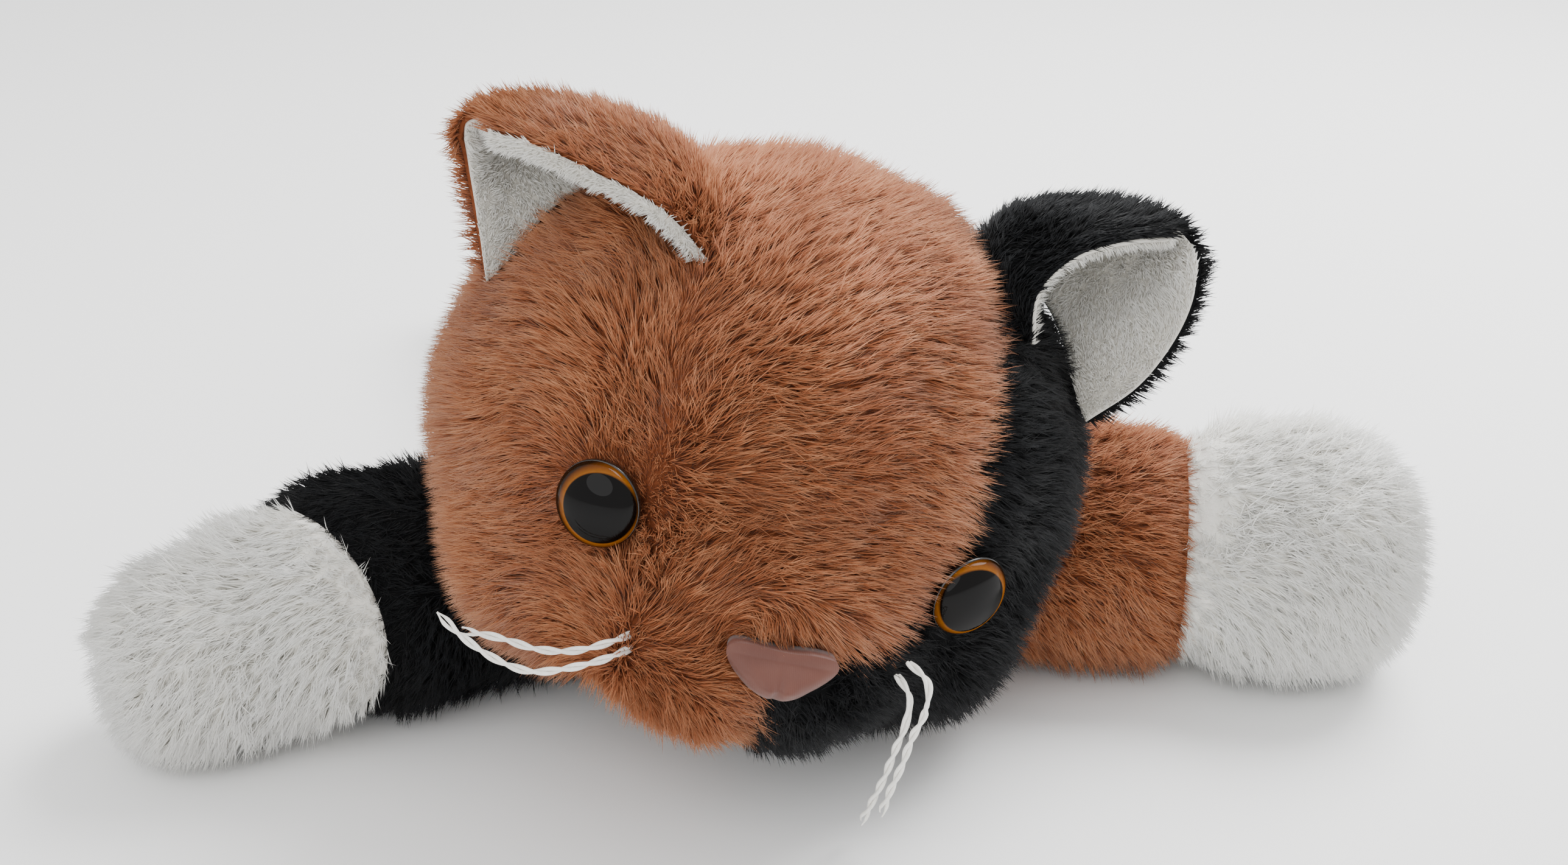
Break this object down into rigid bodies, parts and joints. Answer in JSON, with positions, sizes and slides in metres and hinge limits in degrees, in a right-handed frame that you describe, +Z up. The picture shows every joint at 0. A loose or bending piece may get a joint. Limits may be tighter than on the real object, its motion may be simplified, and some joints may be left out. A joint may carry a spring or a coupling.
{
  "type": "plush cat",
  "caption": "Floppy stuffed plush cat lying on its belly, calico patches, white paws, plastic eyes and nose, yarn whiskers.",
  "frame": {"origin": "middle of the belly's flat resting face, on the table", "axes": "+Z up, head towards -Y, tail towards +Y, the cat's own left side at +X"},
  "size_m": [0.2556, 0.3009, 0.1222],
  "materials": {
    "orange_plush": "matte",
    "black_plush": "matte",
    "white_plush": "matte",
    "ear_lining": "matte",
    "fibre_filling": "matte",
    "pellet_bag_cloth": "matte",
    "eye_plastic": "gloss",
    "nose_plastic": "satin",
    "washer_plastic": "satin",
    "whisker_yarn": "matte"
  },
  "bodies": {
    "torso": {"belly_panel": "white_plush", "back_panel_right": "orange_plush", "back_panel_left": "black_plush", "torso_stuffing": "fibre_filling", "pellet_bag": "pellet_bag_cloth", "neck_collar": "orange_plush", "neck_stuffing": "fibre_filling"},
    "head": {"head_gusset": "orange_plush", "head_panel_right": "orange_plush", "head_panel_left": "black_plush", "head_stuffing": "fibre_filling", "eye_right": "eye_plastic", "eye_left": "eye_plastic", "eye_washer_right": "washer_plastic", "eye_washer_left": "washer_plastic", "nose": "nose_plastic", "nose_washer": "washer_plastic", "whisker_right_upper": "whisker_yarn", "whisker_right_lower": "whisker_yarn", "whisker_left_upper": "whisker_yarn", "whisker_left_lower": "whisker_yarn"},
    "ear_right": {"ear_right_outer": "orange_plush", "ear_right_lining": "ear_lining"},
    "ear_left": {"ear_left_outer": "black_plush", "ear_left_lining": "ear_lining"},
    "tail": {"tail_base": "black_plush", "tail_tip": "white_plush", "tail_stuffing": "fibre_filling"},
    "front_leg_right": {"front_leg_right_sleeve": "black_plush", "front_leg_right_paw": "white_plush", "front_leg_right_stuffing": "fibre_filling"},
    "front_leg_left": {"front_leg_left_sleeve": "orange_plush", "front_leg_left_paw": "white_plush", "front_leg_left_stuffing": "fibre_filling"},
    "hind_leg_right": {"hind_leg_right_sleeve": "orange_plush", "hind_leg_right_paw": "white_plush", "hind_leg_right_stuffing": "fibre_filling"},
    "hind_leg_left": {"hind_leg_left_sleeve": "black_plush", "hind_leg_left_paw": "white_plush", "hind_leg_left_stuffing": "fibre_filling"}
  },
  "joints": [
    {"name": "head_nod", "type": "hinge", "parent": "torso", "child": "head", "pos_m": [0, -0.054, 0.038], "axis": [-1, 0, 0], "range_deg": [0, 27]},
    {"name": "ear_right_fold", "type": "hinge", "parent": "head", "child": "ear_right", "pos_m": [-0.02452, -0.091, 0.10553], "axis": [-0.9544, 0.2036, -0.2185], "range_deg": [0, 15], "stiffness_Nm_per_rad": 0.02},
    {"name": "ear_left_fold", "type": "hinge", "parent": "head", "child": "ear_left", "pos_m": [0.0497, -0.087, 0.08306], "axis": [-0.6356, 0, 0.772], "range_deg": [0, 15], "stiffness_Nm_per_rad": 0.02},
    {"name": "front_leg_right_swing", "type": "hinge", "parent": "torso", "child": "front_leg_right", "pos_m": [-0.036, -0.072, 0.0235], "axis": [0, 0, -1], "range_deg": [0, 40]},
    {"name": "front_leg_left_swing", "type": "hinge", "parent": "torso", "child": "front_leg_left", "pos_m": [0.036, -0.072, 0.0235], "axis": [0, 0, 1], "range_deg": [0, 32]},
    {"name": "hind_leg_right_swing", "type": "hinge", "parent": "torso", "child": "hind_leg_right", "pos_m": [-0.034, 0.054, 0.0195], "axis": [0, 0, 1], "range_deg": [0, 65]},
    {"name": "hind_leg_left_swing", "type": "hinge", "parent": "torso", "child": "hind_leg_left", "pos_m": [0.034, 0.054, 0.0195], "axis": [0, 0, -1], "range_deg": [0, 65]},
    {"name": "tail_swing", "type": "hinge", "parent": "torso", "child": "tail", "pos_m": [0, 0.07, 0.026], "axis": [0, 0, 1], "range_deg": [-16, 16]}
  ]
}
